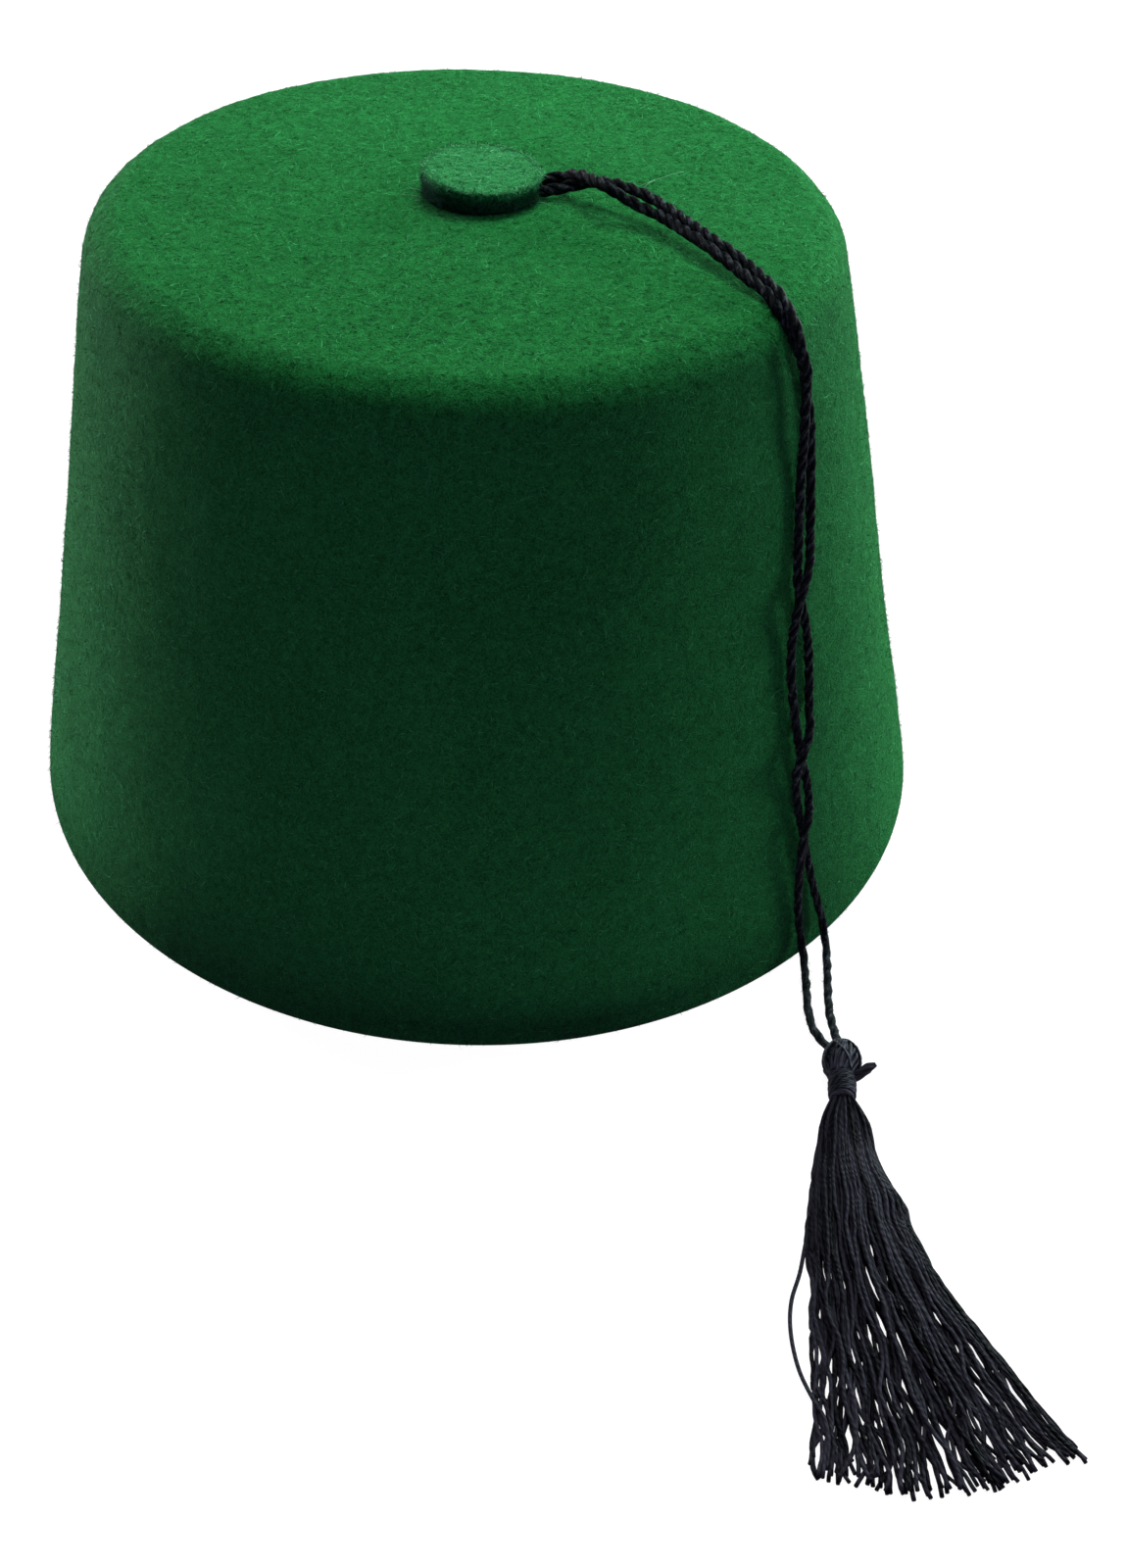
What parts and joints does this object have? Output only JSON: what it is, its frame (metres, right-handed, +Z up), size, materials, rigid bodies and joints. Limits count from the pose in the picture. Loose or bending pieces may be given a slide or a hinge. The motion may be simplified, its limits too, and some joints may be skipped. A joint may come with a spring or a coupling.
{
  "type": "fez hat",
  "caption": "Brimless felt hat, a tapered crown open below, with a felt button on top, a doubled twisted cord and a tassel that lies beside it.",
  "frame": {"origin": "the middle of the crown's rim, on the surface that the hat rests on", "axes": "+X towards the wearer's left ear, +Y along the oval rim towards its far end, +Z up; the tassel lies on the -Y side"},
  "size_m": [0.1838, 0.2996, 0.1268],
  "materials": {
    "felt": "blocked green wool felt, matt, with short loose fibres",
    "cut_felt": "the same green felt, cut, with a darker fuzzy edge",
    "cord": "black three-ply twisted cord with a satin sheen",
    "tassel_thread": "black twisted thread with a satin sheen"
  },
  "bodies": {
    "root": {"crown": "felt", "button": "cut_felt", "cord_strand_right": "cord", "cord_strand_left": "cord", "tassel": "tassel_thread", "binding": "tassel_thread"}
  },
  "joints": []
}
